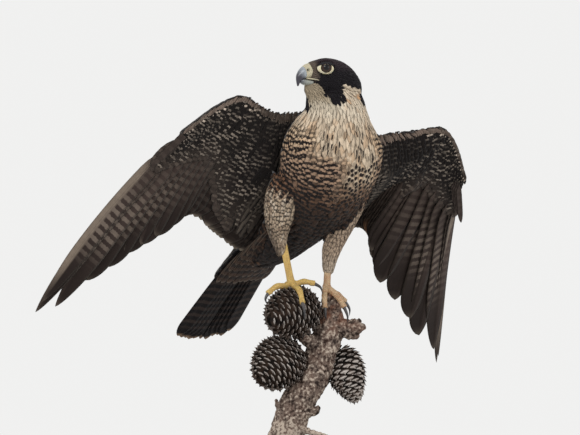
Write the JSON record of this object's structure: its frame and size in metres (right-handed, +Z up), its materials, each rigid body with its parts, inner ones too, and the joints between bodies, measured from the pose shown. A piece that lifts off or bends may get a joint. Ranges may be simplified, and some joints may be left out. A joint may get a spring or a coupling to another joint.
{
  "type": "peregrine falcon model",
  "caption": "Life-size still model of a female-size falcon with half-spread wings, gripping a cut pine branch with cones on a plain stand",
  "frame": {"origin": "Centre of the underside of the stand's round base, on the floor", "axes": "+Z up, -Y towards the viewer of the pose, +X to that viewer's right; the bird's right wing lies on the -X side"},
  "size_m": [0.5106, 0.3818, 0.5155],
  "materials": {
    "plumage_dark": "slate-brown plumage barred with buff and white, matt",
    "plumage_pale": "pale buff throat and neck plumage with fine dark streaks, matt",
    "plumage_barred": "buff plumage with dark streaks above and dark bars below, matt",
    "cere_yellow": "bare greenish yellow skin, satin",
    "bill_slate": "blue-grey horn darkening to a black tip, satin",
    "eye_dark": "very dark brown eye, wet gloss",
    "foot_yellow": "yellow scaled skin, satin",
    "claw_black": "black horn, satin gloss",
    "bark": "grey-brown flaking bark, matt",
    "cone_scale": "dark grey-brown woody cone scales, matt",
    "stand_black": "black paint, satin"
  },
  "bodies": {
    "root": {"head": "plumage_dark", "wing_left": "plumage_dark", "wing_right": "plumage_dark", "tail": "plumage_dark", "neck": "plumage_pale", "torso": "plumage_barred", "thigh_left": "plumage_barred", "thigh_right": "plumage_barred", "cere": "cere_yellow", "bill_upper": "bill_slate", "bill_lower": "bill_slate", "eye_left": "eye_dark", "eye_right": "eye_dark", "foot_left": "foot_yellow", "foot_right": "foot_yellow", "claw_left_inner": "claw_black", "claw_left_middle": "claw_black", "claw_left_outer": "claw_black", "claw_left_hind": "claw_black", "claw_right_inner": "claw_black", "claw_right_middle": "claw_black", "claw_right_outer": "claw_black", "claw_right_hind": "claw_black", "perch_branch": "bark", "perch_cone_top": "cone_scale", "perch_cone_left": "cone_scale", "perch_cone_right": "cone_scale", "stand_base": "stand_black", "stand_rod": "stand_black"}
  },
  "joints": []
}
